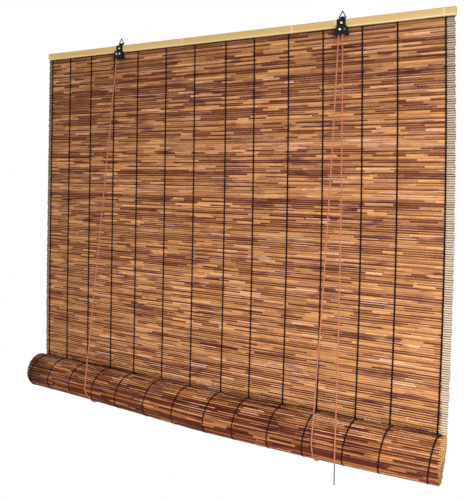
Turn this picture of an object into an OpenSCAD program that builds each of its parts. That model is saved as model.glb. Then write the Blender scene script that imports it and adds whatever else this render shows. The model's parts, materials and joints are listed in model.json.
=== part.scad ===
// Roll-up reed blind, hung by two wire rings, with its lower part wound on a rod.
// Millimetres, +Z up, +X along the battens, the viewer on the -Y side.
// The origin lies on the line through the inner tops of the two rings, over the middle of the mat.

/* [Mat] */
// Width of the reed mat and of the battens
width = 1000; // [920:10:1060]
// Height from the top of the battens down to the axis of the roll
drop = 812; // [780:1:860]
// Thickness of the mat over its reeds
reed_size = 4.2; // [3.8:0.1:4.4]
// Height taken by one reed
reed_pitch = 4.3; // [4:0.1:5]
// Depth of the valley between two reeds
reed_valley = 0.7; // [0.4:0.1:1]

/* [Threads] */
// Width of a binding thread
thread_wide = 3; // [1.6:0.1:3.2]
// Thickness of a binding thread
thread_thick = 0.8; // [0.5:0.1:1]

/* [Battens] */
// Height of the two head battens
batten_high = 15.5; // [14:0.5:18]
// Thickness of each head batten
batten_thick = 5; // [4.5:0.5:6]
// Width of a pale thread tie round the battens
tie_wide = 2; // [1.2:0.1:3]
// Thickness of a pale thread tie
tie_thick = 0.6; // [0.4:0.1:0.8]

/* [Roll] */
// Radius of the mat's middle where it enters the roll
roll_radius = 43; // [40:0.5:45]
// Room between two turns of the roll
turn_gap = 0.6; // [0.5:0.1:0.9]
// Diameter of the rod at the heart of the roll
rod_size = 16; // [12:1:18]
// Distance from the mat's left edge to the left end of the roll
roll_left = 20; // [4:1:24]
// Distance from the mat's right edge to the right end of the roll
roll_right = 10; // [2:1:16]

/* [Hangers] */
// Position of the left hanger along the batten
left_at = -267; // [-300:1:-250]
// Position of the right hanger along the batten
right_at = 286; // [250:1:300]
// Width of a hanger's front plate
plate_wide = 18; // [17:0.5:20]
// Sheet thickness of a hanger
sheet = 1.2; // [1:0.1:1.4]
// Half width of the hood at its mouth
hood_half = 13.5; // [12.5:0.5:16]
// Distance from the middle of a hanger's plate to the middle of its hood
hood_shift = 3.5; // [3:0.1:4]
// Height of the hood below the batten
hood_high = 17.5; // [16.5:0.5:20]
// Diameter of the rivets' shanks
rivet_size = 3; // [2.8:0.1:3.2]
// Diameter of the rivets' heads
rivet_head = 5; // [4.6:0.1:5.6]

/* [Wheels] */
// Outer radius of a cord wheel
wheel_radius = 5.4; // [5:0.1:5.5]
// Radial running clearance of the wheels and the cams on their rivets
bore_clear = 0.06; // [0.04:0.01:0.08]

/* [Rings] */
// Wire diameter of a hanging ring
wire = 2.1; // [1.6:0.1:2.4]
// Half width of a ring between its lower corners
ring_half = 7.5; // [7.2:0.1:8.5]
// Height from the ring's hinge to the inner top of the ring
ring_high = 11; // [10.6:0.1:13]

/* [Cords] */
// Diameter of the cords
cord_size = 3; // [2.6:0.1:3.2]
// Sideways lean of the lift cords on their way down to the roll
lift_lean = 15; // [8:1:20]
// Sideways lean of the pull cord on its way down to the roll
pull_lean = 22; // [15:1:30]
// Length of the pull cord's free tail below the roll's axis
tail_long = 27; // [20:1:40]
// Length of the grey sheathed tip of the pull cord
tip_long = 39; // [30:1:46]

/* [Hidden] */
$fn = 48;

// Shares of the width at which the fourteen binding threads cross the mat
thread_at = [-0.489, -0.428, -0.359, -0.286, -0.215, -0.134, -0.056, 0.024, 0.093,
    0.172, 0.247, 0.327, 0.395, 0.480];
// Shares of the width at which the five pale ties hold the battens
tie_at = [-0.482, -0.089, 0.180, 0.272, 0.479];

// Heights from the ring's inner top downwards
eye_z = -ring_high;
curl_r = wire / 2 + bore_clear + 1.3;
batten_top = eye_z - curl_r - sheet - 1.6;
batten_low = batten_top - batten_high;
mat_half = reed_size / 2;
face_y = mat_half + batten_thick;
mat_top = batten_top - 1;
roll_z = batten_top - drop;
roll_y = -roll_radius;
part_gap = 0.5;

// Hood, wheel and cord places
wall_y = face_y + sheet;
cord_r = cord_size / 2;
groove_gap = 0.3;
side_rim = 0.7;
groove_step = cord_size + 0.4;
rear_groove = -(wall_y + 0.4 + side_rim + groove_gap + cord_r);
front_groove = rear_groove - groove_step;
wheel_back = -(wall_y + 0.4);
wheel_front = front_groove - cord_r - groove_gap - side_rim;
hood_front = -wheel_front + 0.4 + sheet;
wheel_x = hood_shift - 3;
cam_x = hood_shift + 6;
groove_r = 4.2;
wheel_z = batten_low - 6.7;
hood_low = batten_low - hood_high;
hood_top = batten_low + 0.6;
over_z = wheel_z + groove_r;
bend_r = 5.2;
lift_x = wheel_x - groove_r;
pull_x = wheel_x + groove_r;
back_x = lift_x - 2.2;
wrap_x = lift_x - lift_lean;
left_slot = wheel_x + 4.8 + bend_r;
right_slot = wheel_x - bend_r;
rear_run = mat_half + 1 + cord_r + 1.6;
slot_half = cord_r + 0.9;

// Roll: the strip winds inwards from the back, under the roll and up its front
turn_pitch = reed_size + turn_gap;
spiral_b = turn_pitch / 360;
roll_end_r = rod_size / 2 + mat_half + part_gap;
strip_b = turn_pitch / (2 * PI);
strip_long = (roll_radius * roll_radius - roll_end_r * roll_end_r) / (2 * strip_b);
reeds_rolled = floor(strip_long / reed_pitch);
reeds_round = floor(2 * PI * roll_radius / reed_pitch * 0.86);
reeds_hung = floor((mat_top - roll_z - part_gap) / reed_pitch);
mat_low = mat_top - reeds_hung * reed_pitch;
roll_x0 = -width / 2 + roll_left;
roll_x1 = width / 2 - roll_right;
wrap_r = roll_radius + mat_half + thread_thick + 0.7 + cord_r;

// Where a straight cord from the wheel meets the wrap round the roll
lead_y = roll_y - front_groove;
lead_z = wheel_z - roll_z;
lead_far = sqrt(lead_y * lead_y + lead_z * lead_z);
lead_turn = acos(wrap_r / lead_far) - atan2(-lead_y, lead_z);
touch_a = 90 + lead_turn;
touch = [roll_y + wrap_r * cos(touch_a), roll_z + wrap_r * sin(touch_a)];
cord_gap = 0.4;

function unit(v) = v / norm(v);
function along(p, i) = unit(p[min(i + 1, len(p) - 1)] - p[max(i - 1, 0)]);
function square_to(n, t) = unit(n - (n * t) * t);
function frames(p, n, i = 0) = i >= len(p) ? [] :
    let(m = square_to(n, along(p, i))) concat([m], frames(p, m, i + 1));
function first_side(t) = abs(t[0]) < 0.9 ? square_to([1, 0, 0], t) : square_to([0, 1, 0], t);

// A round cord of n sides swept along the points p
module tube(p, r, n = 8) {
    side = frames(p, first_side(along(p, 0)));
    rings = [for (i = [0 : len(p) - 1]) let(t = along(p, i), u = side[i], v = cross(t, u))
        for (k = [0 : n - 1]) p[i] + r * (cos(360 * k / n) * u + sin(360 * k / n) * v)];
    walls = [for (i = [0 : len(p) - 2]) for (k = [0 : n - 1]) let(a = i * n + k,
        b = i * n + (k + 1) % n) [a, a + n, b + n, b]];
    low = [[for (k = [0 : n - 1]) k]];
    high = [[for (k = [0 : n - 1]) (len(p) - 1) * n + n - 1 - k]];
    polyhedron(points = rings, faces = concat(low, walls, high), convexity = 6);
}

// Points on an arc in the plane of the roll's section
function round_roll(x, a0, a1, n) = [for (i = [0 : n]) let(a = a0 + (a1 - a0) * i / n)
    [x, roll_y + wrap_r * cos(a), roll_z + wrap_r * sin(a)]];
// Points over a wheel, in the plane y
function over_wheel(hx, y, a0, a1, n) = [for (i = [0 : n]) let(a = a0 + (a1 - a0) * i / n)
    [hx + wheel_x + groove_r * cos(a), y, wheel_z + groove_r * sin(a)]];
// Points on a level bend of the cord at height over_z
function bend(cx, cy, a0, a1, n) = [for (i = [0 : n]) let(a = a0 + (a1 - a0) * i / n)
    [cx + bend_r * cos(a), cy + bend_r * sin(a), over_z]];

// Head battens with the holes of the clamping rivets
module batten(y) {
    difference() {
        translate([-width / 2, y, batten_low]) cube([width, batten_thick, batten_high]);
        for (x = [left_at, right_at])
            translate([x, 0, batten_low + batten_high * 0.56]) rotate([90, 0, 0])
                cylinder(d = rivet_size, h = 60, center = true);
    }
}
module front_batten() color("#d9b36b") batten(-face_y);
module rear_batten() color("#d9b36b") batten(mat_half);

// Pale thread ties wound round both battens
module batten_ties() color("#efe3c4")
    for (s = tie_at)
        translate([s * width - tie_wide / 2, 0, 0]) rotate([90, 0, 90])
            linear_extrude(tie_wide) difference() {
                translate([-face_y - tie_thick, batten_low - tie_thick])
                    square([2 * (face_y + tie_thick), batten_high + 2 * tie_thick]);
                translate([-face_y, batten_low]) square([2 * face_y, batten_high]);
            }

// Outline of the flared hood, grown inwards by s
module bell(s) polygon([[-9 + s, hood_top - s], [9 - s, hood_top - s],
    [10.8 - s, batten_low - 4], [11.8 - s, hood_low + 6], [hood_half - s, hood_low + 1.6],
    [hood_half - s, hood_low - (s > 0 ? 1 : 0)], [-hood_half + s, hood_low - (s > 0 ? 1 : 0)],
    [-hood_half + s, hood_low + 1.6], [-11.8 + s, hood_low + 6], [-10.8 + s, batten_low - 4]]);

// Folded sheet hanger: eye curl, clamp over the battens and the hood of the cord wheel
module hanger(hx, slot_x) translate([hx, 0, 0]) difference() {
    union() {
        translate([-plate_wide / 2, -wall_y, batten_low - 1])
            cube([plate_wide, sheet, batten_high + 1]);
        translate([-plate_wide / 2, -wall_y, batten_top])
            cube([plate_wide, face_y + wall_y, sheet]);
        translate([-3, face_y, batten_low + 1]) cube([6, sheet, batten_top + sheet - batten_low - 1]);
        translate([-4, -sheet / 2, batten_top]) cube([8, sheet, eye_z - batten_top]);
        translate([0, 0, eye_z]) rotate([0, 90, 0]) cylinder(r = curl_r, h = 8, center = true);
        translate([hood_shift, -face_y, 0]) rotate([90, 0, 0]) difference() {
            linear_extrude(hood_front - face_y) bell(0);
            translate([0, 0, sheet]) linear_extrude(hood_front - face_y - 2 * sheet) bell(sheet);
        }
    }
    translate([0, 0, eye_z]) rotate([0, 90, 0])
        cylinder(r = wire / 2 + bore_clear, h = 20, center = true);
    translate([0, 0, batten_low + batten_high * 0.56]) rotate([90, 0, 0])
        cylinder(d = rivet_size, h = 60, center = true);
    for (x = [wheel_x, cam_x])
        translate([x, 0, wheel_z]) rotate([90, 0, 0]) cylinder(d = rivet_size, h = 60);
    translate([slot_x - slot_half, -wall_y - 0.2, over_z - slot_half])
        cube([2 * slot_half, sheet + 0.4, 2 * slot_half]);
}
module left_hanger() color("#1d1c1c") hanger(left_at, left_slot);
module right_hanger() color("#1d1c1c") hanger(right_at, right_slot);

// A rivet along Y with two low heads, its shank between y0 in front and y1 behind
module rivet(y0, y1) rotate([90, 0, 0]) translate([0, 0, -y1]) rotate_extrude()
    polygon([[0, -0.9], [rivet_head * 0.3, -0.9], [rivet_head / 2, -0.4], [rivet_head / 2, 0],
        [rivet_size / 2, 0], [rivet_size / 2, y1 - y0], [rivet_head / 2, y1 - y0],
        [rivet_head / 2, y1 - y0 + 0.4], [rivet_head * 0.3, y1 - y0 + 1], [0, y1 - y0 + 1]]);
module clamp_rivets() color("#c9c9c9") for (x = [left_at, right_at])
    translate([x, 0, batten_low + batten_high * 0.56]) rivet(-wall_y, wall_y);
module axle_rivets() color("#c9c9c9") for (x = [left_at, right_at], s = [wheel_x, cam_x])
    translate([x + s, 0, wheel_z]) rivet(-hood_front, -face_y);

// Section of the hanging mat: a wall of reeds, ridged on both sides
function ridges(y, n) = [for (i = [0 : n - 1]) each [
    [y - sign(y) * reed_valley, mat_top - i * reed_pitch],
    [y, mat_top - (i + 0.3) * reed_pitch],
    [y, mat_top - (i + 0.7) * reed_pitch]]];
function backward(p) = [for (i = [len(p) - 1 : -1 : 0]) p[i]];
module hanging_mat() color("#a8642c") difference() {
    translate([-width / 2, 0, 0]) rotate([90, 0, 90]) linear_extrude(width)
        polygon(concat(ridges(-mat_half, reeds_hung),
            [[-mat_half + reed_valley, mat_low], [mat_half - reed_valley, mat_low]],
            backward(ridges(mat_half, reeds_hung))));
    for (s = tie_at) translate([s * width - tie_wide / 2 - 0.3, -10, batten_low - tie_thick - 0.3])
        cube([tie_wide + 0.6, 20, tie_thick + 0.6]);
    for (x = [left_at + left_slot, right_at + right_slot])
        translate([x - slot_half, -10, over_z - slot_half]) cube([2 * slot_half, 20, 2 * slot_half]);
    for (x = [left_at, right_at]) translate([x - 2, -10, batten_low + batten_high * 0.56 - 2])
        cube([4, 20, 4]);
}

// Binding threads on both faces of the hanging mat
module hanging_threads() color("#171212") for (s = thread_at)
    for (y = [-mat_half - thread_thick, mat_half])
        translate([s * width - thread_wide / 2, y, mat_low + 8])
            cube([thread_wide, thread_thick, batten_low - tie_thick - 8 - mat_low]);

// Spiral of the roll: angle after a length of strip, and a point beside the strip's middle
function strip_angle(d) = (roll_radius - sqrt(max(0, roll_radius * roll_radius - 2 * strip_b * d)))
    / strip_b * 180 / PI;
function strip_at(d, off) = let(a = strip_angle(d), r = roll_radius - spiral_b * a + off)
    [roll_y + r * cos(a), roll_z - r * sin(a)];
module rolled_mat() color("#9c5524") translate([roll_x0, 0, 0]) rotate([90, 0, 90])
    linear_extrude(roll_x1 - roll_x0) polygon(concat(
        [for (i = [0 : reeds_rolled - 1]) each [
            strip_at(i * reed_pitch, mat_half - reed_valley),
            strip_at((i + 0.3) * reed_pitch, mat_half),
            strip_at((i + 0.7) * reed_pitch, mat_half)]],
        [strip_at(reeds_rolled * reed_pitch, mat_half - reed_valley)],
        [for (i = [reeds_rolled : -1 : 0]) strip_at(i * reed_pitch, -mat_half)]));

// Binding threads round the outermost turn
module roll_threads() color("#171212") for (s = thread_at)
    translate([s * (roll_x1 - roll_x0) + (roll_x0 + roll_x1) / 2 - thread_wide / 2, 0, 0])
        rotate([90, 0, 90]) linear_extrude(thread_wide) polygon(concat(
            [for (i = [1 : reeds_round]) strip_at(i * reed_pitch, mat_half + 0.1 + thread_thick)],
            [for (i = [reeds_round : -1 : 1]) strip_at(i * reed_pitch, mat_half + 0.1)]));

// Rod at the heart of the roll, held by the last turn
module bottom_rod() color("#b98c4e") translate([(roll_x0 + roll_x1) / 2, roll_y, roll_z])
    rotate([0, 90, 0]) cylinder(d = rod_size + 2 * part_gap, h = roll_x1 - roll_x0 - 6, center = true);

// Lift cords: in front of the mat, round the roll, and behind the mat
function front_run(hx) = [[hx + lift_x, front_groove, wheel_z - cord_gap],
    for (i = [1 : 11]) let(k = i / 12) [hx + lift_x - lift_lean * k,
        front_groove + (touch[0] - front_groove) * k, wheel_z + (touch[1] - wheel_z) * k],
    [hx + wrap_x, touch[0] + 0.02, touch[1] + cord_gap]];
module left_front_cord() color("#a0523d") tube(front_run(left_at), cord_r);
module right_front_cord() color("#a0523d") tube(front_run(right_at), cord_r);
module left_wrap_cord() color("#a0523d") tube(round_roll(left_at + wrap_x, touch_a, 360, 24), cord_r);
module right_wrap_cord() color("#a0523d") tube(round_roll(right_at + wrap_x, touch_a, 360, 24), cord_r);
back_y = face_y + cord_r;
function back_run(hx) = [[hx + wrap_x, roll_y + wrap_r, roll_z + cord_gap],
    for (i = [1 : 9]) let(k = i / 10) [hx + wrap_x + (back_x - wrap_x) * k,
        roll_y + wrap_r + (back_y - roll_y - wrap_r) * k * k, roll_z + (batten_low - 2 - roll_z) * k],
    [hx + back_x, back_y, batten_low - 2], [hx + back_x, back_y, batten_low + 9]];
module left_back_cord() color("#a0523d") tube(back_run(left_at), cord_r);
module right_back_cord() color("#a0523d") tube(back_run(right_at), cord_r);
module back_staples() color("#c9c9c9") for (hx = [left_at, right_at])
    translate([hx + back_x, 0, batten_low + 5]) difference() {
        translate([-cord_r - 0.8, face_y, -1.2]) cube([cord_size + 1.6, cord_size + 0.8, 2.4]);
        translate([-cord_r, face_y - 1, -2]) cube([cord_size, cord_size + 1, 4]);
    }

knot_high = 3.6;
knot_half = cord_r + 1;
knot_z = wheel_z - 9.1;
// The left lift cord's way over its wheel, behind the mat and over the right wheel
transfer_run = concat(over_wheel(left_at, front_groove, 180, 90, 4),
    bend(left_at + left_slot - bend_r, front_groove + bend_r, -90, 0, 4),
    bend(left_at + left_slot + bend_r, rear_run - bend_r, 180, 90, 4),
    [for (i = [1 : 11]) [left_at + left_slot + bend_r + i / 12 * (right_at + right_slot - left_at
        - left_slot - 2 * bend_r), rear_run, over_z]],
    bend(right_at + right_slot - bend_r, rear_run - bend_r, 90, 0, 4),
    bend(right_at + right_slot + bend_r, rear_groove + bend_r, 180, 270, 4),
    [for (a = [68, 45, 22, 0]) [right_at + wheel_x + groove_r * cos(a), rear_groove,
        wheel_z + groove_r * sin(a)]],
    [[right_at + pull_x, rear_groove, knot_z + knot_high / 2 + 0.2]]);
module transfer_cord() color("#a0523d") tube(transfer_run, cord_r);
module right_over_cord() color("#a0523d")
    tube(over_wheel(right_at, front_groove, 180, 0, 8), cord_r);
module join_knot() color("#a0523d") translate([right_at + pull_x, rear_groove, knot_z])
    difference() {
        translate([-knot_half, -groove_step - knot_half, -knot_high / 2])
            cube([2 * knot_half, groove_step + 2 * knot_half, knot_high]);
        translate([0, -groove_step, -knot_high]) cylinder(r = cord_r + 0.3, h = 2 * knot_high);
    }

// Pull cord: over the roll's front and down to its tip
pull_end_x = right_at + pull_x + pull_lean;
pull_run = [[right_at + pull_x, front_groove, wheel_z - cord_gap],
    [right_at + pull_x, front_groove, hood_low - 2],
    for (i = [1 : 11]) let(k = i / 12) [right_at + pull_x + pull_lean * k,
        front_groove + (touch[0] - front_groove) * k, hood_low - 2 + (touch[1] - hood_low + 2) * k],
    [pull_end_x, touch[0], touch[1] + cord_gap]];
module pull_cord_upper() color("#a0523d") tube(pull_run, cord_r);
tail_y = roll_y - wrap_r - 0.6;
tail_run = [[pull_end_x, touch[0], touch[1]], [pull_end_x, tail_y, roll_z - 4],
    [pull_end_x, tail_y, roll_z - tail_long / 2], [pull_end_x, tail_y, roll_z - tail_long]];
module pull_cord_tail() color("#a0523d") tube(tail_run, cord_r);
module pull_cord_tip() color("#8a8a88") tube([[pull_end_x, tail_y, roll_z - tail_long],
    [pull_end_x, tail_y, roll_z - tail_long - tip_long / 2],
    [pull_end_x, tail_y, roll_z - tail_long - tip_long]], cord_r * 0.8);

// Hanging ring of bent wire, hinged in the hanger's eye
ring_top = wire / 2 / sin(atan2(ring_half, ring_high + wire));
module ring(hx) color("#1d1c1c") translate([hx, 0, 0]) {
    translate([0, 0, eye_z]) rotate([0, 90, 0]) cylinder(d = wire, h = 2 * ring_half, center = true);
    for (s = [-1, 1]) {
        translate([s * ring_half, 0, eye_z]) sphere(d = wire);
        translate([s * ring_half, 0, eye_z])
            rotate([0, -s * atan2(ring_half, ring_top - eye_z), 0])
                cylinder(d = wire, h = norm([ring_half, ring_top - eye_z]));
    }
    translate([0, 0, ring_top]) sphere(d = wire);
}
module left_ring() ring(left_at);
module right_ring() ring(right_at);

// Double-grooved cord wheel on its rivet
floor_r = groove_r - cord_r - groove_gap;
low_rim = floor_r + 1.1;
web_at = -(rear_groove + front_groove) / 2;
module wheel(hx) color("#3a3a3a") translate([hx + wheel_x, 0, wheel_z]) rotate([90, 0, 0])
    rotate_extrude() polygon([[rivet_size / 2 + bore_clear, -wheel_back], [low_rim, -wheel_back],
        [low_rim, -wheel_back + side_rim], [floor_r, -wheel_back + side_rim],
        [floor_r, web_at - 0.7], [low_rim, web_at], [floor_r, web_at + 0.7],
        [floor_r, -wheel_front - side_rim], [wheel_radius, -wheel_front - side_rim],
        [wheel_radius, -wheel_front], [rivet_size / 2 + bore_clear, -wheel_front]]);
module left_wheel() wheel(left_at);
module right_wheel() wheel(right_at);

// Lock cam: a small pawl that swings against the pull cord
module cam(hx) color("#5a5a5a") translate([hx + cam_x, 0, wheel_z]) difference() {
    union() {
        rotate([90, 0, 0]) translate([0, 0, -wheel_back + 0.2])
            cylinder(r = 2.3, h = wheel_back - wheel_front - 0.4);
        translate([-0.8, wheel_front + 0.2, -6.8]) cube([1.6, wheel_back - wheel_front - 0.4, 6.8]);
    }
    rotate([90, 0, 0]) cylinder(r = rivet_size / 2 + bore_clear, h = 60);
}
module left_cam() cam(left_at);
module right_cam() cam(right_at);

front_batten();
rear_batten();
batten_ties();
left_hanger();
right_hanger();
clamp_rivets();
axle_rivets();
hanging_mat();
hanging_threads();
left_front_cord();
right_front_cord();
left_back_cord();
right_back_cord();
back_staples();
transfer_cord();
right_over_cord();
join_knot();
pull_cord_upper();
left_ring();
right_ring();
left_wheel();
right_wheel();
left_cam();
right_cam();
left_wrap_cord();
right_wrap_cord();
pull_cord_tail();
pull_cord_tip();
rolled_mat();
roll_threads();
bottom_rod();
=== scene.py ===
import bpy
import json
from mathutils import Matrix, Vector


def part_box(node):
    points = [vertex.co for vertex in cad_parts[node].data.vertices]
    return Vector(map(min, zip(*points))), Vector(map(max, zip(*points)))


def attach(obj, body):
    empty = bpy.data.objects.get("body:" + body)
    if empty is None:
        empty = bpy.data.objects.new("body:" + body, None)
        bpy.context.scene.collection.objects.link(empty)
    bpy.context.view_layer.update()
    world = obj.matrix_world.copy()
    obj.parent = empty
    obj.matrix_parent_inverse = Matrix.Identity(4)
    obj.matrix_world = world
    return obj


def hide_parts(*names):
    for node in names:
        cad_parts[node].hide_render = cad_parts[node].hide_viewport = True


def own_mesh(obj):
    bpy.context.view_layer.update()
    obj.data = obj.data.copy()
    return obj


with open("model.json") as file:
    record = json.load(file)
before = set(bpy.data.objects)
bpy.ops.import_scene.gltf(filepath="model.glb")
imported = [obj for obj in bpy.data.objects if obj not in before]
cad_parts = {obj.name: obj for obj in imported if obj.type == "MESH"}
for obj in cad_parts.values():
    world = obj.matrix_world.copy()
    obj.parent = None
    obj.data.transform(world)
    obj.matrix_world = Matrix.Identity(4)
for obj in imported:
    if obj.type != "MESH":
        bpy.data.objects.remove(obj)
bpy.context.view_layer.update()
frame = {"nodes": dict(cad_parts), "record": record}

import json
import math

import bpy
import numpy as np
from mathutils import Matrix, Vector

RANDOM_SEED = 7
rng = np.random.default_rng(RANDOM_SEED)

# Sizes of the part, in metres
WIDTH = 1.0
REED_PITCH = 0.0043
REED_SIZE = 0.0042
TURN_PITCH = 0.0048
ROLL_RADIUS = 0.043
CORE_RADIUS = 0.0106
THREAD_WIDE = 0.003
THREAD_THICK = 0.0008
CORD_SIZE = 0.003
TIP_SIZE = 0.0024
CORD_GAP = 0.0004
WRAP_CLEAR = 0.0007
GROOVE_R = 0.0042
BACK_STEP = 0.0022
TAIL_LONG = 0.027
TIP_LONG = 0.039

# Places of the binding threads, as shares of the width from the middle
THREADS = [-0.489, -0.428, -0.359, -0.286, -0.215, -0.134, -0.056, 0.024, 0.093,
           0.172, 0.247, 0.327, 0.395, 0.482]


# Places read from the frame
def middle_of(node, axis):
    low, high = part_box(node)
    return (low[axis] + high[axis]) / 2


joints = {j["name"]: j for j in frame["record"]["behaviour"]["joints"]}
ROLL_AXIS = Vector(joints["roll_turn"]["pos_m"])
WHEEL_Z = joints["left_wheel_turn"]["pos_m"][2]
HANGERS = {side: joints[side + "_ring_swing"]["pos_m"][0] for side in ("left", "right")}
WHEEL_X = joints["left_wheel_turn"]["pos_m"][0] - HANGERS["left"]
LIFT_X = WHEEL_X - GROOVE_R
PULL_X = WHEEL_X + GROOVE_R
BACK_X = LIFT_X - BACK_STEP
FRONT_GROOVE = middle_of("right_over_cord", 1)
WRAP_X = middle_of("left_wrap_cord", 0) - HANGERS["left"]
PULL_END = middle_of("pull_cord_tip", 0)
BATTEN_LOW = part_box("front_batten")[0][2]
BATTEN_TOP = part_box("front_batten")[1][2]
BATTEN_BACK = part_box("rear_batten")[1][1]
MAT_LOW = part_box("hanging_mat")[0][2]
MAT_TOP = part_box("hanging_mat")[1][2]
HOOD_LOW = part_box("right_hanger")[0][2]
ROLL_X0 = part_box("rolled_mat")[0][0]
ROLL_X1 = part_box("rolled_mat")[1][0]
WRAP_R = ROLL_RADIUS + REED_SIZE / 2 + THREAD_THICK + WRAP_CLEAR + CORD_SIZE / 2

# Detail of the meshes: points along a piece and round it
MAT_POINTS = 17
ROLL_POINTS = 15
CORE_POINTS = 4
OUTER_REEDS = 66
REED_SIDES = 8
THREAD_SIDES = 6
CORD_SIDES = 12
CORD_STEP = 0.0013
LOOP_POINTS = 60

# Camera: focal length and lens shift in pixels of the 466 by 500 picture
FOCAL_PX = 583.0
SHIFT_PX = 68.2
TALL_PX = 500.0
SENSOR_MM = 36
YAW = math.radians(27.71)
CAMERA_ROLL = math.radians(0.91)
EYE = Vector((0.6378, -1.1279, BATTEN_TOP - 0.3254))


def make_camera():
    cam = bpy.data.objects.new("camera", bpy.data.cameras.new("camera"))
    bpy.context.collection.objects.link(cam)
    right = Vector((math.cos(YAW), math.sin(YAW), 0))
    ahead = Vector((-math.sin(YAW), math.cos(YAW), 0))
    up = Vector((0, 0, 1))
    tilted = right * math.cos(CAMERA_ROLL) + up * math.sin(CAMERA_ROLL)
    upper = up * math.cos(CAMERA_ROLL) - right * math.sin(CAMERA_ROLL)
    turn = Matrix((tilted, upper, -ahead)).transposed().to_4x4()
    cam.matrix_world = Matrix.Translation(EYE) @ turn
    cam.data.sensor_width = SENSOR_MM
    cam.data.lens = FOCAL_PX / TALL_PX * SENSOR_MM
    cam.data.shift_y = -SHIFT_PX / TALL_PX
    cam.data.clip_start = 0.01
    bpy.context.scene.camera = cam


# Shader nodes
BLACK = (0.0, 0.0, 0.0)
WHITE = (1.0, 1.0, 1.0)


def new_material(name, color, rough=0.5, metal=0.0):
    mat = bpy.data.materials.new(name)
    mat.use_nodes = True
    shader = mat.node_tree.nodes["Principled BSDF"]
    shader.inputs["Base Color"].default_value = (*color, 1)
    shader.inputs["Roughness"].default_value = rough
    shader.inputs["Metallic"].default_value = metal
    return mat, mat.node_tree, shader


def ramp(tree, fac, stops, mode="LINEAR"):
    n = tree.nodes.new("ShaderNodeValToRGB")
    n.color_ramp.interpolation = mode
    cells = n.color_ramp.elements
    while len(cells) < len(stops):
        cells.new(0.5)
    for cell, (at, color) in zip(cells, stops):
        cell.position = at
        cell.color = (*color, 1)
    tree.links.new(fac, n.inputs["Fac"])
    return n.outputs["Color"]


def step(tree, fac, at, wide):
    """0 below at, rising to 1 over wide."""
    return ramp(tree, fac, [(at, BLACK), (at + wide, WHITE)])


def maths(tree, op, *values):
    n = tree.nodes.new("ShaderNodeMath")
    n.operation = op
    for socket, value in zip(n.inputs, values):
        if isinstance(value, (int, float)):
            socket.default_value = value
        else:
            tree.links.new(value, socket)
    return n.outputs[0]


def mix(tree, mode, fac, a, b):
    n = tree.nodes.new("ShaderNodeMix")
    n.data_type = "RGBA"
    n.blend_type = mode
    for socket, value in ((n.inputs[0], fac), (n.inputs[6], a), (n.inputs[7], b)):
        if isinstance(value, (int, float)):
            socket.default_value = value
        elif isinstance(value, tuple):
            socket.default_value = (*value, 1)
        else:
            tree.links.new(value, socket)
    return n.outputs[2]


def bumps(tree, shader, height, strength, distance):
    n = tree.nodes.new("ShaderNodeBump")
    n.inputs["Strength"].default_value = strength
    n.inputs["Distance"].default_value = distance
    tree.links.new(height, n.inputs["Height"])
    tree.links.new(n.outputs["Normal"], shader.inputs["Normal"])


def noise(tree, vector, detail, dimensions="3D"):
    n = tree.nodes.new("ShaderNodeTexNoise")
    n.noise_dimensions = dimensions
    n.inputs["Scale"].default_value = 1.0
    n.inputs["Detail"].default_value = detail
    tree.links.new(vector, n.inputs["Vector"])
    return n.outputs["Fac"]


def stretched(tree, sx, sy, sz):
    """The object's own coordinates, scaled along each axis."""
    n = tree.nodes.new("ShaderNodeMapping")
    n.inputs["Scale"].default_value = (sx, sy, sz)
    coords = tree.nodes.new("ShaderNodeTexCoord")
    tree.links.new(coords.outputs["Object"], n.inputs["Vector"])
    return n.outputs["Vector"]


def axes(tree, source):
    """X, Y and Z of the object's own coordinates or normals."""
    coords = tree.nodes.new("ShaderNodeTexCoord")
    split = tree.nodes.new("ShaderNodeSeparateXYZ")
    tree.links.new(coords.outputs[source], split.inputs["Vector"])
    return split.outputs


def mark(tree, name):
    """A value that the mesh carries at each point."""
    n = tree.nodes.new("ShaderNodeAttribute")
    n.attribute_name = name
    return n.outputs["Fac"]


def dashes(tree, place, scale):
    """Random values, red, green and blue, that change in steps along each reed."""
    cells = tree.nodes.new("ShaderNodeTexVoronoi")
    cells.voronoi_dimensions = "1D"
    cells.inputs["Scale"].default_value = scale
    tree.links.new(place, cells.inputs["W"])
    split = tree.nodes.new("ShaderNodeSeparateColor")
    tree.links.new(cells.outputs["Color"], split.inputs["Color"])
    return split.outputs


# Reeds: stain colours, each with the share of the dashes that is darker
REED_STAINS = [(0.00, (0.250, 0.080, 0.038)), (0.03, (0.390, 0.135, 0.050)),
               (0.12, (0.495, 0.205, 0.063)), (0.38, (0.570, 0.257, 0.076)),
               (0.77, (0.620, 0.300, 0.108)), (0.97, (0.690, 0.370, 0.180))]
STREAK_TONES = [(0.30, (0.74, 0.66, 0.61)), (0.52, WHITE), (0.72, (1.2, 1.16, 1.1))]
# Painted shade in the gaps between the reeds, along each reed's lower edge
GAP_SHADE_DARK = (0.165, 0.066, 0.078)
# Painted highlight on the upper side of some reeds
PAINTED_HIGHLIGHT = (0.76, 0.44, 0.26)

# Colour gain at the far, left end, where the painted shade between the reeds is stronger
FAR_TINT = (1.08, 1.08, 1.10)

# Dashes and streaks in cycles a metre, and how far a reed's random seed can shift its pattern
STAIN_DASHES = 14.0
SHADE_AND_HIGHLIGHT_DASHES = 22.0
STREAKS = 36.0
REED_SHIFT = 83.0

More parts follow.
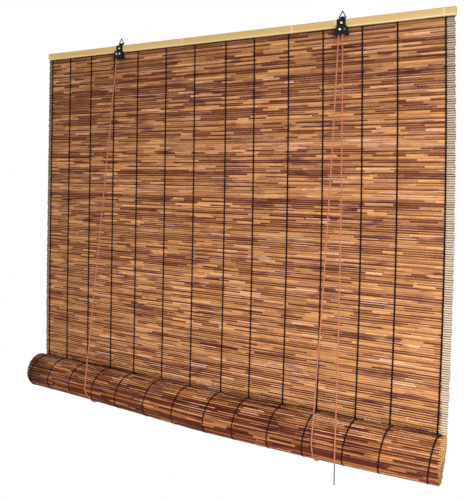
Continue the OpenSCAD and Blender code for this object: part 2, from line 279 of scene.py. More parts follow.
# What differs between the hanging mat and the mat's back, seen on the roll. Heights on a reed and
# shares run from 0 to 1. Bare tips begin at tip_left and tip_right from the middle, and WIDTH means none.
MAT_LOOK = {
    "tint": (1.20, 1.23, 1.40),
    "patch_from": 0.575,
    "patch_tint": (0.48, 0.40, 0.70),
    "pale_share": 0.08,
    "tip_left": 0.0015 - THREADS[0] * WIDTH,
    "tip_right": THREADS[-1] * WIDTH + 0.001,
    "tip_tint": (0.48, 0.385, 0.235),
    # From here on, the keys set the painted shade in the gaps between the reeds
    "joint_from": 0.37,
    "joint_to": 0.54,
    "joint_share": 0.97,
    "joint_soft": 0.35,
    "joint_vary": 0.15,
    "joint_deep": 0.20,
}
ROLL_LOOK = {
    "tint": (1.01, 0.88, 0.87),
    "patch_from": 0.57,
    "patch_tint": (0.48, 0.34, 0.58),
    "pale_share": 0.26,
    "tip_left": WIDTH,
    "tip_right": ROLL_X1,
    # On the roll, the tips' tint is painted light on the reeds' right ends, where the light from the right
    # falls
    "tip_tint": (0.62, 0.34, 0.11),
    # From here on, the keys set the painted shade in the gaps between the reeds
    "joint_from": 0.37,
    "joint_to": 0.52,
    "joint_share": 0.95,
    "joint_soft": 0.2,
    "joint_vary": 0.38,
    "joint_deep": 0.22,
}


def reed_number(tree, seed):
    """One random value for a whole reed."""
    n = tree.nodes.new("ShaderNodeTexWhiteNoise")
    n.noise_dimensions = "1D"
    tree.links.new(maths(tree, "MULTIPLY", seed, 53.0), n.inputs["W"])
    return n.outputs["Value"]


def reed_stain(tree, place, whole):
    dash = ramp(tree, dashes(tree, place, STAIN_DASHES)["Red"], REED_STAINS, "CONSTANT")
    return mix(tree, "MIX", 0.7, ramp(tree, whole, REED_STAINS), dash)


def reed_streak(tree, place, around):
    pair = tree.nodes.new("ShaderNodeCombineXYZ")
    tree.links.new(maths(tree, "MULTIPLY", place, STREAKS), pair.inputs["X"])
    tree.links.new(maths(tree, "MULTIPLY", around, 4.0), pair.inputs["Y"])
    return noise(tree, pair.outputs["Vector"], 3.0, "2D")


def bare_tips(tree, along, look):
    """1 on the reeds' bare ends, 0 between them."""
    left = maths(tree, "SUBTRACT", maths(tree, "MULTIPLY", along, -1.0), look["tip_left"])
    right = maths(tree, "SUBTRACT", along, look["tip_right"])
    return maths(tree, "MAXIMUM", step(tree, left, 0.0, 0.003), step(tree, right, 0.0, 0.004))


def painted_gap_shade(tree, level, lines, deep, tip, look):
    """Painted shade along a reed's lower edge, in the gap to the next reed, and white above, to a height that
    varies by dash and by reed.
    """
    high = maths(tree, "MULTIPLY", maths(tree, "POWER", lines["Red"], 2.0), look["joint_vary"])
    high = maths(tree, "ADD", high, maths(tree, "MULTIPLY", deep, look["joint_deep"]))
    high = maths(tree, "MULTIPLY", high, maths(tree, "SUBTRACT", 1.0, tip))
    return ramp(tree, maths(tree, "SUBTRACT", level, high),
                [(look["joint_from"], GAP_SHADE_DARK), (look["joint_to"], WHITE)])


def gap_shade_strength(tree, lines, whole, deep, tip, far, look):
    """How much the painted shade between the reeds shows: in dashes, more at the far end, and always on the
    tips and on a few reeds.
    """
    shown = step(tree, lines["Green"], 1 - look["joint_share"], look["joint_soft"])
    firm = maths(tree, "ADD", maths(tree, "MULTIPLY", deep, 0.5), maths(tree, "MULTIPLY_ADD", far, 0.3, 0.45))
    shown = maths(tree, "MULTIPLY", shown, maths(tree, "MINIMUM", firm, 1.0))
    shown = maths(tree, "MAXIMUM", shown, maths(tree, "MULTIPLY", tip, 0.8))
    return maths(tree, "MAXIMUM", shown, step(tree, whole, 0.975, 0.005))


def reed_material(name, look):
    """Stained reed: dashes of colour, fine streaks, painted shade in the gaps between the reeds and painted
    highlights on upper edges in places.
    """
    mat, tree, shader = new_material(name, (0.4, 0.2, 0.08), 0.5)
    shader.inputs["Specular IOR Level"].default_value = 0.12
    seed, along, around = (mark(tree, key) for key in ("seed", "along", "around"))
    place = maths(tree, "ADD", along, maths(tree, "MULTIPLY", seed, REED_SHIFT))
    level = maths(tree, "ADD", maths(tree, "MULTIPLY", around, 0.5), 0.5)
    far = maths(tree, "SUBTRACT", 0.5, maths(tree, "DIVIDE", along, WIDTH))
    whole = reed_number(tree, seed)
    deep = step(tree, maths(tree, "FRACT", maths(tree, "MULTIPLY", whole, 17.0)), 0.22, 0.2)
    lines = dashes(tree, maths(tree, "ADD", place, 7.3), SHADE_AND_HIGHLIGHT_DASHES)
    tip = bare_tips(tree, along, look)
    streak = reed_streak(tree, place, around)
    patch = noise(tree, stretched(tree, 13.0, 60.0, 60.0), 2.0)
    patch_tones = [(look["patch_from"], WHITE), (look["patch_from"] + 0.13, look["patch_tint"])]
    # Painted highlight: a pale line on the upper side of the reeds, in some dashes
    pale = maths(tree, "MULTIPLY", step(tree, lines["Blue"], 1 - look["pale_share"], 0.04),
                 step(tree, level, 0.58, 0.2))

    color = reed_stain(tree, place, whole)
    color = mix(tree, "MULTIPLY", 1.0, color, ramp(tree, streak, STREAK_TONES))
    color = mix(tree, "MULTIPLY", 1.0, color, ramp(tree, patch, patch_tones))
    color = mix(tree, "MIX", pale, color, PAINTED_HIGHLIGHT)
    # On the roll, this tint of the tips is painted light on the right ends
    color = mix(tree, "MIX", maths(tree, "MULTIPLY", tip, 0.85), color, look["tip_tint"])
    # Painted shade in the gaps between the reeds
    color = mix(tree, "MULTIPLY", gap_shade_strength(tree, lines, whole, deep, tip, far, look), color,
                painted_gap_shade(tree, level, lines, deep, tip, look))
    color = mix(tree, "MULTIPLY", 1.0, color, ramp(tree, far, [(0.0, WHITE), (1.0, FAR_TINT)]))
    color = mix(tree, "MULTIPLY", 1.0, color, mark(tree, "dim"))
    color = mix(tree, "MULTIPLY", 1.0, color, look["tint"])
    tree.links.new(color, shader.inputs["Base Color"])
    bumps(tree, shader, streak, 0.25, 0.0004)
    return mat


def reed_end_material():
    mat, tree, shader = new_material("reed_cut_end", (0.7, 0.42, 0.16), 0.7)
    grain = noise(tree, stretched(tree, 900, 900, 900), 3.0)
    tree.links.new(ramp(tree, grain, [(0.3, (0.28, 0.12, 0.03)), (0.6, (0.72, 0.42, 0.13))]),
                   shader.inputs["Base Color"])
    return mat


# Other materials
def bamboo_material():
    """Planed bamboo with a greyer upper edge and a pale, rounded lower edge, and painted light towards its
    left end, where the key light is weaker.
    """
    mat, tree, shader = new_material("bamboo_batten", (0.7, 0.5, 0.22), 0.45)
    grain = noise(tree, stretched(tree, 9, 700, 420), 4.0)
    wide = noise(tree, stretched(tree, 3, 60, 60), 2.0)
    color = mix(tree, "MIX", 0.45,
                ramp(tree, grain, [(0.3, (0.53, 0.315, 0.095)), (0.7, (0.66, 0.44, 0.165))]),
                ramp(tree, wide, [(0.35, (0.55, 0.335, 0.10)), (0.65, (0.68, 0.46, 0.175))]))
    place = axes(tree, "Object")
    above = maths(tree, "SUBTRACT", place["Z"], BATTEN_LOW)
    edges = ramp(tree, maths(tree, "DIVIDE", above, BATTEN_TOP - BATTEN_LOW),
                 [(0.06, (1.35, 1.5, 1.9)), (0.24, WHITE), (0.76, WHITE), (0.95, (0.85, 0.95, 1.2))])
    # Painted light: paler towards the left end, where the key light is weaker
    length = maths(tree, "ADD", maths(tree, "DIVIDE", place["X"], WIDTH), 0.5)
    tone = ramp(tree, length, [(0.0, (1.24, 1.22, 1.18)), (0.6, WHITE), (1.0, (0.93, 0.93, 0.94))])
    color = mix(tree, "MULTIPLY", 1.0, color, edges)
    tree.links.new(mix(tree, "MULTIPLY", 1.0, color, tone), shader.inputs["Base Color"])
    bumps(tree, shader, grain, 0.15, 0.0003)
    return mat


def yarn_material(name, dark, light, scale):
    mat, tree, shader = new_material(name, light, 0.85)
    shader.inputs["Specular IOR Level"].default_value = 0.08
    fibre = noise(tree, stretched(tree, scale, scale, scale), 4.0)
    tree.links.new(ramp(tree, fibre, [(0.3, dark), (0.7, light)]), shader.inputs["Base Color"])
    bumps(tree, shader, fibre, 0.4, 0.0004)
    return mat


def metal_material(name, dark, light, rough, metal, scale, gloss=0.5):
    mat, tree, shader = new_material(name, light, rough, metal)
    shader.inputs["Specular IOR Level"].default_value = gloss
    wear = noise(tree, stretched(tree, scale, scale, scale), 3.0)
    tree.links.new(ramp(tree, wear, [(0.3, dark), (0.7, light)]), shader.inputs["Base Color"])
    bumps(tree, shader, wear, 0.1, 0.0002)
    return mat


# A rivet's tone from the rim to the flat crown, by how squarely it faces the front or the back
RIVET_TONES = [(0.82, (0.06, 0.06, 0.065)), (0.95, WHITE)]
# The right cam's rivet lies in shade: painted shade makes it dark all over
SHADED_RIVET_X = joints["right_cam_swing"]["pos_m"][0]
SHADED_RIVET_REACH = 0.004


def rivet_material():
    """Polished crowns with dull rims; the right cam's rivet, which lies in shade, gets the rim's dark tone
    all over as painted shade.
    """
    mat, tree, shader = new_material("bright_rivet", (0.9, 0.9, 0.9), 0.22, 1.0)
    wear = noise(tree, stretched(tree, 900, 900, 900), 3.0)
    crown = ramp(tree, maths(tree, "ABSOLUTE", axes(tree, "Normal")["Y"]), RIVET_TONES)
    color = mix(tree, "MULTIPLY", 1.0, crown, ramp(tree, wear, [(0.3, (0.88, 0.88, 0.89)), (0.7, WHITE)]))
    # Painted shade on the right cam's rivet
    off = maths(tree, "ABSOLUTE", maths(tree, "SUBTRACT", axes(tree, "Object")["X"], SHADED_RIVET_X))
    dark = maths(tree, "LESS_THAN", off, SHADED_RIVET_REACH)
    tree.links.new(mix(tree, "MIX", dark, color, RIVET_TONES[0][1]), shader.inputs["Base Color"])
    bumps(tree, shader, wear, 0.1, 0.0002)
    return mat


def make_materials():
    return {
        "reed": reed_material("stained_reed", MAT_LOOK),
        "roll_reed": reed_material("stained_reed_back", ROLL_LOOK),
        "cut": reed_end_material(),
        "bamboo": bamboo_material(),
        "thread": yarn_material("black_yarn", (0.004, 0.0015, 0.0012), (0.018, 0.007, 0.006), 2500),
        "tie": yarn_material("pale_yarn", (0.62, 0.50, 0.30), (0.82, 0.72, 0.52), 2500),
        "cord": yarn_material("russet_cord", (0.340, 0.090, 0.043), (0.590, 0.208, 0.114), 1800),
        "sheath": yarn_material("cord_tip_sheath", (0.05, 0.05, 0.05), (0.12, 0.12, 0.12), 1800),
        "lacquer": metal_material("black_lacquer", (0.003, 0.003, 0.004), (0.008, 0.008, 0.009),
                                  0.6, 0.0, 600, gloss=0.15),
        "rivet": rivet_material(),
        "steel": metal_material("bright_staple", (0.75, 0.75, 0.76), (0.92, 0.92, 0.93), 0.22, 1.0, 900),
        "wheel": metal_material("dark_wheel", (0.03, 0.03, 0.03), (0.06, 0.06, 0.06), 0.5, 0.0, 700),
    }


# Meshes
def mesh_object(name, verts, faces, materials, body, marks=None, face_mat=None):
    mesh = bpy.data.meshes.new(name)
    mesh.from_pydata([tuple(v) for v in verts], [], faces)
    for m in materials:
        mesh.materials.append(m)
    if face_mat is not None:
        mesh.polygons.foreach_set("material_index", np.asarray(face_mat, np.int32))
    mesh.polygons.foreach_set("use_smooth", np.full(len(mesh.polygons), True))
    for key, values in (marks or {}).items():
        layer = mesh.attributes.new(key, "FLOAT", "POINT")
        layer.data.foreach_set("value", np.asarray(values, np.float32))
    mesh.update()
    obj = bpy.data.objects.new(name, mesh)
    bpy.context.collection.objects.link(obj)
    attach(obj, body)
    return obj


def tube_faces(rings, sides, start=0):
    """Faces of a closed tube: the walls first, then its two ends."""
    faces = []
    for i in range(rings - 1):
        for k in range(sides):
            j = start + i * sides
            faces.append((j + k, j + (k + 1) % sides, j + sides + (k + 1) % sides, j + sides + k))
    faces.append(tuple(start + k for k in reversed(range(sides))))
    faces.append(tuple(start + (rings - 1) * sides + k for k in range(sides)))
    return faces


def round_angles(sides):
    return np.arange(sides) * 2 * math.pi / sides


def reed_mesh(name, reeds, materials, body):
    """One piece of many reeds.

    Each reed is a dict of its points along X, its radii across (y) and up (z), the tilt of its section,
    a random seed and, where it is shaded, a dim factor. The second material is for the cut ends.
    """
    verts, faces, kinds = [], [], []
    marks = {"seed": [], "along": [], "around": [], "dim": []}
    start = 0
    turn = round_angles(REED_SIDES)
    for reed in reeds:
        p = np.asarray(reed["points"])
        n = len(p)
        c, s = math.cos(reed["tilt"]), math.sin(reed["tilt"])
        a = np.cos(turn)[None] * np.asarray(reed["across"])[:, None]
        b = np.sin(turn)[None] * np.asarray(reed["up"])[:, None]
        ring = np.stack([np.repeat(p[:, :1], REED_SIDES, 1), p[:, 1:2] + a * c - b * s,
                         p[:, 2:3] + a * s + b * c], -1)
        verts.append(ring.reshape(-1, 3))
        faces += tube_faces(n, REED_SIDES, start)
        kinds += [0] * ((n - 1) * REED_SIDES) + [1, 1]
        marks["seed"].append(np.full(n * REED_SIDES, reed["seed"]))
        marks["along"].append(np.repeat(p[:, 0], REED_SIDES))
        marks["around"].append(np.tile(np.sin(turn), n))
        marks["dim"].append(np.full(n * REED_SIDES, reed.get("dim", 1.0)))
        start += n * REED_SIDES
    joined_marks = {key: np.concatenate(values) for key, values in marks.items()}
    return mesh_object(name, np.concatenate(verts), faces, materials, body, joined_marks, kinds)


def sides_of(points):
    """Frames carried along a line without twist."""
    p = np.asarray(points, float)
    t = np.gradient(p, axis=0)
    t /= np.linalg.norm(t, axis=1)[:, None]
    u = np.zeros_like(p)
    ref = np.array([1.0, 0, 0]) if abs(t[0][0]) < 0.9 else np.array([0, 1.0, 0])
    for i in range(len(p)):
        ref = ref - t[i] * (ref @ t[i])
        ref = ref / np.linalg.norm(ref)
        u[i] = ref
    return u, np.cross(t, u)


def run_along(points):
    """Length of a line up to each of its points."""
    return np.concatenate([[0], np.cumsum(np.linalg.norm(np.diff(points, axis=0), axis=1))])


def tube(points, radius, sides, lobes=0, twist=0.0, depth=0.0):
    """Vertices and faces of a tube; lobes, twist (turns a metre) and depth give it strands."""
    p = np.asarray(points, float)
    u, v = sides_of(p)
    turn = round_angles(sides)
    r = np.full((len(p), sides), radius)
    if lobes:
        phase = lobes * turn[None] + 2 * math.pi * twist * run_along(p)[:, None]
        r = radius * (1 - depth + depth * np.cos(phase))
    ring = p[:, None] + r[..., None] * (np.cos(turn)[None, :, None] * u[:, None]
                                        + np.sin(turn)[None, :, None] * v[:, None])
    return ring.reshape(-1, 3), tube_faces(len(p), sides)


def resample(points, spacing):
    p = np.asarray(points, float)
    run = run_along(p)
    at = np.linspace(0, run[-1], max(2, int(run[-1] / spacing) + 1))
    return np.stack([np.interp(at, run, p[:, k]) for k in range(3)], 1)


def joined(parts):
    verts, faces, start = [], [], 0
    for v, f in parts:
        verts.append(v)
        faces += [tuple(start + k for k in face) for face in f]
        start += len(v)
    return np.concatenate(verts), faces


def wavy(n, size):
    """A slow random bend of n points."""
    steps = rng.normal(0, 1, n)
    smooth = np.convolve(steps, [0.25, 0.5, 0.25], "same")
    return smooth * size


# Bends that only the visual pieces have, in metres
SAG_DEPTH = 0.004
EDGE_BOW = 0.018
EDGE_DRAW = 0.0045

# Shares by which the roll thins towards its ends, and the lengths over which it does
LEFT_THIN = 0.08
LEFT_THIN_LONG = 0.3
RIGHT_THIN = 0.03
RIGHT_THIN_LONG = 0.28


def lowness(z):
    """0 at the headrail, 1 at the mat's lower end."""
    return np.clip((BATTEN_LOW - z) / (BATTEN_LOW - MAT_LOW), 0, 1)


def sag(x, z):
    """The mat and its roll sag a little between the two ends."""
    return SAG_DEPTH * np.clip(1 - (np.asarray(x) / (WIDTH / 2)) ** 2, 0, 1) * lowness(z) ** 3


def bow(x, z, draw=EDGE_DRAW):
    """The mat's right-hand edge bows out a little at half height, and both draw in below."""
    low = lowness(z)
    across = np.asarray(x) / WIDTH + 0.5
    return EDGE_BOW * low * (1 - low) * across + draw * low ** 4 * (1 - 2 * across)


def settle(points):
    """The roll is wound a little tighter towards its ends."""
    p = np.array(points, float)
    left = np.clip(-p[:, 0] / LEFT_THIN_LONG, 0, 1.2)
    right = np.clip((p[:, 0] - ROLL_X1 + RIGHT_THIN_LONG) / RIGHT_THIN_LONG, 0, 1) ** 2
    size = 1 - LEFT_THIN * left - RIGHT_THIN * right
    top = ROLL_AXIS.z + ROLL_RADIUS
    p[:, 1] *= size
    p[:, 2] = top - (top - p[:, 2]) * size - sag(p[:, 0], MAT_LOW)
    return p


# The hanging mat: its reeds are thinner as far as FREE from each end, and full from FULL on
LEFT_FREE = 0.011
LEFT_FULL = 0.016
RIGHT_FREE = 0.016
RIGHT_FULL = 0.022

# Painted shade close under the headrail and further down, and painted light near the roll: strength and reach
RAIL_SHADE = (0.75, 0.005)
WIDE_SHADE = (0.13, 0.2)
CREASE_PAINTED_LIGHT = (0.6, 0.03)


def reed_stations(x0, x1):
    """Places along a reed, with two close to each end where the free ends thin out."""
    inner = np.linspace(x0 + LEFT_FULL, x1 - RIGHT_FULL, MAT_POINTS - 4)
    return np.concatenate([[x0, x0 + LEFT_FREE], inner, [x1 - RIGHT_FREE, x1]])


def end_taper(size):
    taper = np.ones(MAT_POINTS)
    taper[[0, 1, -2, -1]] = size
    return taper


def fading(tone, distance):
    strength, reach = tone
    return strength * math.exp(-distance / reach)


def reed_dim(z):
    """Painted shade under the headrail, and painted light in the crease at the roll, which would be too dark
    without it.
    """
    below = max(0.0, BATTEN_LOW - z)
    return 1 - fading(RAIL_SHADE, below) + fading(CREASE_PAINTED_LIGHT, z - MAT_LOW) - fading(WIDE_SHADE, below)


def hanging_reeds():
    count = round((MAT_TOP - MAT_LOW) / REED_PITCH)
    n = MAT_POINTS
    out = []
    for i in range(count):
        z = MAT_TOP - (i + 0.5) * REED_PITCH
        x = reed_stations(-WIDTH / 2 - rng.uniform(0.0, 0.002), WIDTH / 2 - rng.uniform(0.001, 0.003))
        up = rng.uniform(0.00245, 0.0026) + wavy(n, 0.00006)
        points = np.stack([x + bow(x, z), wavy(n, 0.00022), z - sag(x, z) + wavy(n, 0.00025)], 1)
        across = 0.0018 if z > BATTEN_LOW else rng.uniform(0.0017, 0.0021)
        out.append({"points": points, "across": np.full(n, across),
                    "up": up * end_taper(rng.uniform(0.85, 1.0)), "tilt": rng.uniform(-0.2, 0.2),
                    "seed": rng.random(), "dim": reed_dim(z)})
    return out


# The hanging mat's threads end above its lower end, in front higher than behind.
# They stand out from the reeds, ride over each one and sway a little sideways.
THREAD_TOP = BATTEN_LOW - 0.0006
FRONT_THREAD_LOW = MAT_LOW + 0.008
BACK_THREAD_LOW = MAT_LOW + 0.001
THREAD_OUT = 0.00022
THREAD_RIDE = 0.00035
THREAD_SWAY = 0.0003


def thread_strand(x, side):
    """One yarn of a binding thread on a face of the hanging mat, riding over each reed."""
    low = FRONT_THREAD_LOW if side < 0 else BACK_THREAD_LOW
    n = int((BATTEN_LOW - low) / REED_PITCH * 3)
    z = np.linspace(THREAD_TOP, low, n)
    row = (MAT_TOP - z) / REED_PITCH
    lane = x + wavy(n, 0.00012) + THREAD_SWAY * np.cos(row * math.pi) * side
    y = side * (REED_SIZE / 2 + THREAD_OUT + THREAD_RIDE * np.cos(2 * math.pi * (row - 0.5)))
    return np.stack([lane + bow(lane, z), y, z - sag(lane, z)], 1)


def hanging_thread_mesh():
    parts = []
    for share in THREADS:
        for side in (-1, 1):
            parts.append(tube(thread_strand(share * WIDTH, side), THREAD_WIDE / 2, THREAD_SIDES))
    return joined(parts)


# The roll: a spiral from the hanging mat's lower end, behind the roll, going under it and up its front.
# The angle is counted from that start. The reeds' right ends stand out, most at the roll's top.
SPIRAL = TURN_PITCH / (2 * math.pi)
END_OUT = 0.002
END_SLIP = 0.0035
END_LONG = 0.008


def strip_angle(d):
    """Angle of the spiral at a length d along the strip."""
    return (ROLL_RADIUS - math.sqrt(max(0.0, ROLL_RADIUS ** 2 - 2 * SPIRAL * d))) / SPIRAL


def strip_at(d, off=0.0):
    """Y, Z and angle of the strip at a length d, off standing out from its middle."""
    a = strip_angle(d)
    r = ROLL_RADIUS - SPIRAL * a + off
    return ROLL_AXIS.y + r * math.cos(a), ROLL_AXIS.z - r * math.sin(a), a


def rolled_reeds():
    count = int((ROLL_RADIUS ** 2 - CORE_RADIUS ** 2) / (2 * SPIRAL) / REED_PITCH)
    out = []
    for i in range(count):
        y, z, a = strip_at((i + 0.5) * REED_PITCH)
        n = ROLL_POINTS if i < OUTER_REEDS else CORE_POINTS
        end = ROLL_X1 + END_OUT + END_SLIP * (1 - math.sin(a)) - rng.uniform(0, 0.002)
        begin = ROLL_X0 - rng.uniform(0.003, 0.005)
        x = np.concatenate([np.linspace(begin, ROLL_X1 - END_LONG, n - 2), [ROLL_X1, end]])
        lift = rng.normal(0, 0.0002)
        points = np.stack([x, y + lift * math.cos(a) + wavy(n, 0.0002),
                           z - lift * math.sin(a) + wavy(n, 0.0002)], 1)
        out.append({"points": settle(points),
                    "across": np.full(n, rng.uniform(0.00185, 0.0021)),
                    "up": np.full(n, rng.uniform(0.00195, 0.00222)),
                    "tilt": -a + rng.uniform(-0.2, 0.2), "seed": rng.random()})
    return out


# The roll's threads cover this share of its outer turn. They lean to the right on their way up the
# front, from the angle LEAN_FROM on, and below it those on the left stand further left.
THREAD_TURN = 0.86
LEAN_FROM = math.radians(120)
LEAN_SPAN = math.radians(170)
LEAN_POWER = 1.2
LEAN_WIDE = 0.016
LEFT_SLIP = 0.008
ROLL_LEFT_OUT = 0.004
ROLL_THREAD_IN = 0.0005
ROLL_THREAD_RIDE = 0.00025
ROLL_THREAD_SWAY = 0.0005
ROLL_THREAD_R = THREAD_WIDE * 0.45


def roll_thread_mesh():
    parts = []
    begin = ROLL_X0 - ROLL_LEFT_OUT
    middle, span = (begin + ROLL_X1) / 2, ROLL_X1 - begin
    reeds_round = int(2 * math.pi * ROLL_RADIUS / REED_PITCH * THREAD_TURN)
    for share in THREADS:
        line = []
        for d in np.arange(1.0, reeds_round, 1 / 3) * REED_PITCH:
            over = ROLL_THREAD_RIDE * math.cos(2 * math.pi * (d / REED_PITCH - 0.5))
            y, z, angle = strip_at(d, REED_SIZE / 2 - ROLL_THREAD_IN + over)
            lean = np.clip((angle - LEAN_FROM) / LEAN_SPAN, 0, 1) ** LEAN_POWER
            aside = LEAN_WIDE * lean - LEFT_SLIP * (0.5 - share) * (1 - lean)
            line.append((middle + share * span + ROLL_THREAD_SWAY * math.sin(d * 900) + aside, y, z))
        parts.append(tube(settle(line), ROLL_THREAD_R, THREAD_SIDES))
    return joined(parts)


# Cord routes, as in the part's own source, but with the loops pressed on the settled roll
HOOD_CLEAR = 0.002
BATTEN_CLEAR = 0.002
STAPLE_UP = 0.009
LOOP_PRESS = 0.0012
LOOP_BLEND = 0.7
TAIL_CLEAR = 0.0006
TAIL_DROP = 0.004


def lead_touch():
    """Where a cord from the wheel meets the roll's front: its angle, Y and Z."""
    ahead, down = ROLL_AXIS.y - FRONT_GROOVE, WHEEL_Z - ROLL_AXIS.z
    angle = math.pi / 2 + math.acos(WRAP_R / math.hypot(ahead, down)) - math.atan2(-ahead, down)
    return angle, ROLL_AXIS.y + WRAP_R * math.cos(angle), ROLL_AXIS.z + WRAP_R * math.sin(angle)


TOUCH_A, TOUCH_Y, TOUCH_Z = lead_touch()
LEAD_TOP = WHEEL_Z - CORD_GAP
LEAD_LOW = TOUCH_Z + CORD_GAP
BACK_TOP = BATTEN_LOW + STAPLE_UP
BACK_LOW = ROLL_AXIS.z + CORD_GAP
TAIL_Y = ROLL_AXIS.y - WRAP_R - TAIL_CLEAR


def lead_run(top_x, low_x):
    """From a wheel straight down out of its hood, then to the roll's front."""
    return [(top_x, FRONT_GROOVE, LEAD_TOP), (top_x, FRONT_GROOVE, HOOD_LOW - HOOD_CLEAR),
            (low_x, TOUCH_Y, LEAD_LOW)]


def front_run(hx):
    return lead_run(hx + LIFT_X, hx + WRAP_X)


def pull_run():
    return lead_run(HANGERS["right"] + PULL_X, PULL_END)


def back_run(hx):
    """From the roll's back up behind the mat, closing in on the rear batten and its staple."""
    y0, y1 = ROLL_AXIS.y + WRAP_R, BATTEN_BACK + CORD_SIZE / 2
    z1 = BATTEN_LOW - BATTEN_CLEAR
    shares = [k / 10 for k in range(11)]
    run = [(hx + WRAP_X + (BACK_X - WRAP_X) * s, y0 + (y1 - y0) * s ** 2, BACK_LOW + (z1 - BACK_LOW) * s)
           for s in shares]
    return run + [(hx + BACK_X, y1, BACK_TOP)]


def wrap_run(hx):
    """A loop of cord that leaves the front lead, follows the roll and ends at the back cord."""
    angle = np.linspace(TOUCH_A, 2 * math.pi, LOOP_POINTS)
    snug = ROLL_RADIUS + REED_SIZE / 2 + CORD_SIZE / 2 - LOOP_PRESS

    def circle(r):
        return np.stack([np.full(LOOP_POINTS, hx + WRAP_X), ROLL_AXIS.y + r * np.cos(angle),
                         ROLL_AXIS.z + r * np.sin(angle)], 1)

    near = np.clip(np.minimum(angle - TOUCH_A, 2 * math.pi - angle) / LOOP_BLEND, 0, 1)[:, None]
    return circle(WRAP_R) * (1 - near) + settle(circle(snug)) * near


def tail_run():
    return [(PULL_END, TOUCH_Y, TOUCH_Z), (PULL_END, TAIL_Y, ROLL_AXIS.z - TAIL_DROP),
            (PULL_END, TAIL_Y, ROLL_AXIS.z - TAIL_LONG)]


def tip_run():
    top = ROLL_AXIS.z - TAIL_LONG
    return [(PULL_END, TAIL_Y, top), (PULL_END, TAIL_Y, top - TIP_LONG)]


# Pieces: a cord's strands, their turns a metre and depth, and the share of its size that is drawn
STRANDS = 3
STRAND_TURNS = 110.0
STRAND_DEPTH = 0.12
CORD_DRAWN = 0.98


def cord_piece(name, run, node, body, mat, radius=CORD_SIZE / 2):
    line = resample(run, CORD_STEP)
    line[:, 0] += bow(line[:, 0], line[:, 2], 0)
    verts, faces = tube(line, radius * CORD_DRAWN, CORD_SIDES, STRANDS, STRAND_TURNS, STRAND_DEPTH)
    obj = mesh_object(name, verts, faces, [mat], body)
    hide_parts(node)
    return obj


def shorten(obj):
    """Gives the piece its own copy of its mesh."""
    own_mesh(obj)


def build_mat(mats):
    mat = reed_mesh("hanging_reeds", hanging_reeds(), [mats["reed"], mats["cut"]], "headrail")
    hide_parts("hanging_mat")
    shorten(mat)
    roll = reed_mesh("rolled_reeds", rolled_reeds(), [mats["roll_reed"], mats["cut"]], "roll")
    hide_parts("rolled_mat")


def build_threads(mats):
    verts, faces = hanging_thread_mesh()
    threads = mesh_object("hanging_yarns", verts, faces, [mats["thread"]], "headrail")
    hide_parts("hanging_threads")
    shorten(threads)
    verts, faces = roll_thread_mesh()
    around = mesh_object("roll_yarns", verts, faces, [mats["thread"]], "roll")
    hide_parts("roll_threads")


def build_cords(mats):
    cord = mats["cord"]
    for side, hx in HANGERS.items():
        lead = cord_piece(side + "_lift_cord", front_run(hx), side + "_front_cord", "headrail", cord)
        shorten(lead)
        back = cord_piece(side + "_return_cord", back_run(hx), side + "_back_cord", "headrail", cord)
        shorten(back)
        cord_piece(side + "_loop_cord", wrap_run(hx), side + "_wrap_cord", "cord_loops", cord)
    pull = cord_piece("pull_cord", pull_run(), "pull_cord_upper", "headrail", cord)
    shorten(pull)
    sheath = cord_piece("pull_cord_sheath", tip_run(), "pull_cord_tip", "cord_loops", mats["sheath"],
                        TIP_SIZE / 2)
    cord_piece("pull_cord_end", tail_run(), "pull_cord_tail", "cord_loops", cord)


# The CAD nodes that stay as they are: their material and the bevel of their edges
BATTEN_BEVEL = 0.0008
HANGER_BEVEL = 0.0003
SOLIDS = [
    ("bamboo", BATTEN_BEVEL, ("front_batten", "rear_batten")),
    ("bamboo", 0.0, ("bottom_rod",)),
    ("tie", 0.0, ("batten_ties",)),
    ("lacquer", HANGER_BEVEL, ("left_hanger", "right_hanger")),
    ("lacquer", 0.0, ("left_ring", "right_ring")),
    ("rivet", 0.0, ("clamp_rivets", "axle_rivets")),
    ("steel", 0.0, ("back_staples",)),
    ("wheel", 0.0, ("left_wheel", "right_wheel", "left_cam", "right_cam")),
    ("cord", 0.0, ("transfer_cord", "right_over_cord", "join_knot")),
]


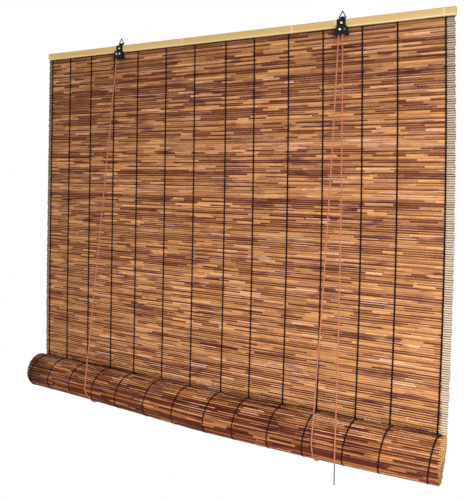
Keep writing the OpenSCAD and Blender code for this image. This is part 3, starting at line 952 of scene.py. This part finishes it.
def dress(node, mat, bevel):
    obj = frame["nodes"][node]
    obj.data.materials.clear()
    obj.data.materials.append(mat)
    if bevel:
        soft = obj.modifiers.new("soft_edges", "BEVEL")
        soft.width = bevel
        soft.segments = 2
        soft.limit_method = "ANGLE"


def dress_solids(mats):
    for key, bevel, nodes in SOLIDS:
        for node in nodes:
            dress(node, mats[key], bevel)


# Light and stage
DAYLIGHT = (0.92, 1.0, 1.12)
FILL = 0.30
FLOOR_Z = -2.2


def area_light(name, at, aim, size, power, color):
    lamp = bpy.data.objects.new(name, bpy.data.lights.new(name, "AREA"))
    lamp.data.shape = "SQUARE"
    lamp.data.size = size
    lamp.data.energy = power
    lamp.data.color = color
    lamp.location = at
    lamp.rotation_euler = (Vector(aim) - Vector(at)).to_track_quat("-Z", "Y").to_euler()
    bpy.context.collection.objects.link(lamp)


def make_world():
    """White where it is seen, reflected or seen through, and a soft fill elsewhere."""
    world = bpy.data.worlds.new("studio")
    bpy.context.scene.world = world
    world.use_nodes = True
    tree = world.node_tree
    back = tree.nodes["Background"]
    back.inputs["Color"].default_value = (*WHITE, 1)
    rays = tree.nodes.new("ShaderNodeLightPath").outputs
    seen = maths(tree, "MAXIMUM", rays["Is Camera Ray"],
                 maths(tree, "MAXIMUM", rays["Is Glossy Ray"], rays["Is Transmission Ray"]))
    strength = maths(tree, "ADD", maths(tree, "MULTIPLY", seen, 1 - FILL), FILL)
    tree.links.new(strength, back.inputs["Strength"])


def make_floor():
    bpy.ops.mesh.primitive_plane_add(size=3.0, location=(0, 0, FLOOR_Z))
    floor = bpy.context.object
    floor.name = "floor"
    mat, _, _ = new_material("pale_floor", (0.9, 0.9, 0.9), 0.9)
    floor.data.materials.append(mat)


def make_lights():
    area_light("key", (1.2, -1.25, -0.5), (0.15, 0, -0.6), 0.7, 29, DAYLIGHT)
    area_light("low", (0.3, -1.5, -1.35), (0.0, 0, -0.8), 0.6, 8.5, DAYLIGHT)
    area_light("top", (0.7, -1.0, 0.8), (0, 0, -0.3), 0.5, 1.0, WHITE)


make_camera()
materials = make_materials()
build_mat(materials)
build_threads(materials)
build_cords(materials)
dress_solids(materials)
bpy.context.scene.view_settings.view_transform = "Standard"
make_world()
make_floor()
make_lights()
